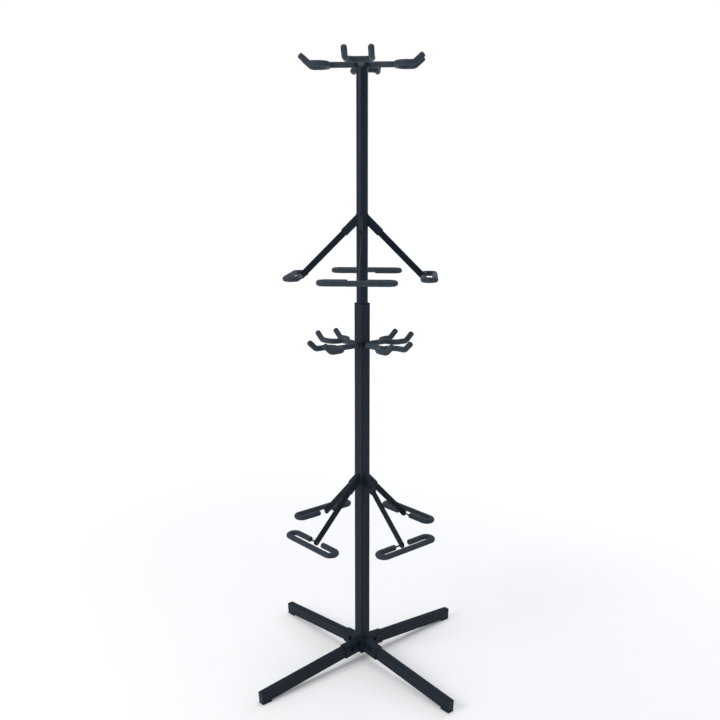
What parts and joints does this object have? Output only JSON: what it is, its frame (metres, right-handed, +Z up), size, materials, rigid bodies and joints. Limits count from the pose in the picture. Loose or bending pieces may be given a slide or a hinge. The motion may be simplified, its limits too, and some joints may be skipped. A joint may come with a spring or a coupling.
{
  "type": "guitar rack",
  "caption": "Free-standing two-tier post rack with four sloping legs, padded neck yokes and tilting padded body rests.",
  "frame": {"origin": "on the floor at the axis of the post", "axes": "+Z up along the post, -Y to the front; the upper tier faces along X and Y, the lower tier and the legs along the diagonals"},
  "size_m": [0.6692, 0.6692, 2.1692],
  "materials": {
    "frame": "fine-textured black powder coat",
    "rod": "satin black coated steel rod",
    "foam": "matt closed-cell foam sleeve",
    "plastic": "moulded, fine matt texture",
    "fastener": "black zinc",
    "joiner": "turned and milled, black anodised"
  },
  "bodies": {
    "stand": {"joiner_screws": "fastener", "leg_back_left": "frame", "leg_back_right": "frame", "leg_bolts": "fastener", "leg_cap_back_left": "plastic", "leg_cap_back_right": "plastic", "leg_cap_front_left": "plastic", "leg_cap_front_right": "plastic", "leg_front_left": "frame", "leg_front_right": "frame", "leg_nuts": "fastener", "leg_sockets": "frame", "post_cap": "plastic", "post_foot_plug": "plastic", "post_joiner": "joiner", "post_lower": "frame", "post_upper": "frame", "rest_arm_lower_back_left": "frame", "rest_arm_lower_back_right": "frame", "rest_arm_lower_front_left": "frame", "rest_arm_lower_front_right": "frame", "rest_arm_upper_back": "frame", "rest_arm_upper_front": "frame", "rest_arm_upper_left": "frame", "rest_arm_upper_right": "frame", "rest_screws": "fastener", "rest_sockets_lower": "frame", "rest_sockets_upper": "frame", "yoke_foam_lower_back_left": "foam", "yoke_foam_lower_back_right": "foam", "yoke_foam_lower_front_left": "foam", "yoke_foam_lower_front_right": "foam", "yoke_foam_upper_back": "foam", "yoke_foam_upper_front": "foam", "yoke_foam_upper_left": "foam", "yoke_foam_upper_right": "foam", "yoke_lower_back_left": "frame", "yoke_lower_back_right": "frame", "yoke_lower_front_left": "frame", "yoke_lower_front_right": "frame", "yoke_upper_back": "frame", "yoke_upper_front": "frame", "yoke_upper_left": "frame", "yoke_upper_right": "frame"},
    "loop_upper_front": {"rest_loop_upper_front": "rod", "loop_foam_upper_front": "foam"},
    "loop_upper_right": {"rest_loop_upper_right": "rod", "loop_foam_upper_right": "foam"},
    "loop_upper_back": {"rest_loop_upper_back": "rod", "loop_foam_upper_back": "foam"},
    "loop_upper_left": {"rest_loop_upper_left": "rod", "loop_foam_upper_left": "foam"},
    "loop_lower_front_left": {"rest_loop_lower_front_left": "rod", "loop_foam_lower_front_left": "foam"},
    "loop_lower_front_right": {"rest_loop_lower_front_right": "rod", "loop_foam_lower_front_right": "foam"},
    "loop_lower_back_right": {"rest_loop_lower_back_right": "rod", "loop_foam_lower_back_right": "foam"},
    "loop_lower_back_left": {"rest_loop_lower_back_left": "rod", "loop_foam_lower_back_left": "foam"}
  },
  "joints": [
    {"name": "loop_upper_front_pivot", "type": "hinge", "parent": "stand", "child": "loop_upper_front", "pos_m": [0, -0.211, 1.441], "axis": [-1, 0, 0], "range_deg": [-80, 90]},
    {"name": "loop_upper_right_pivot", "type": "hinge", "parent": "stand", "child": "loop_upper_right", "pos_m": [0.211, 0, 1.441], "axis": [0, -1, 0], "range_deg": [-80, 90]},
    {"name": "loop_upper_back_pivot", "type": "hinge", "parent": "stand", "child": "loop_upper_back", "pos_m": [0, 0.211, 1.441], "axis": [1, 0, 0], "range_deg": [-80, 90]},
    {"name": "loop_upper_left_pivot", "type": "hinge", "parent": "stand", "child": "loop_upper_left", "pos_m": [-0.211, 0, 1.441], "axis": [0, 1, 0], "range_deg": [-80, 90]},
    {"name": "loop_lower_front_left_pivot", "type": "hinge", "parent": "stand", "child": "loop_lower_front_left", "pos_m": [-0.1492, -0.1492, 0.521], "axis": [-0.7071, 0.7071, 0], "range_deg": [-80, 90]},
    {"name": "loop_lower_front_right_pivot", "type": "hinge", "parent": "stand", "child": "loop_lower_front_right", "pos_m": [0.1492, -0.1492, 0.521], "axis": [-0.7071, -0.7071, 0], "range_deg": [-80, 90]},
    {"name": "loop_lower_back_right_pivot", "type": "hinge", "parent": "stand", "child": "loop_lower_back_right", "pos_m": [0.1492, 0.1492, 0.521], "axis": [0.7071, -0.7071, 0], "range_deg": [-80, 90]},
    {"name": "loop_lower_back_left_pivot", "type": "hinge", "parent": "stand", "child": "loop_lower_back_left", "pos_m": [-0.1492, 0.1492, 0.521], "axis": [0.7071, 0.7071, 0], "range_deg": [-80, 90]}
  ]
}
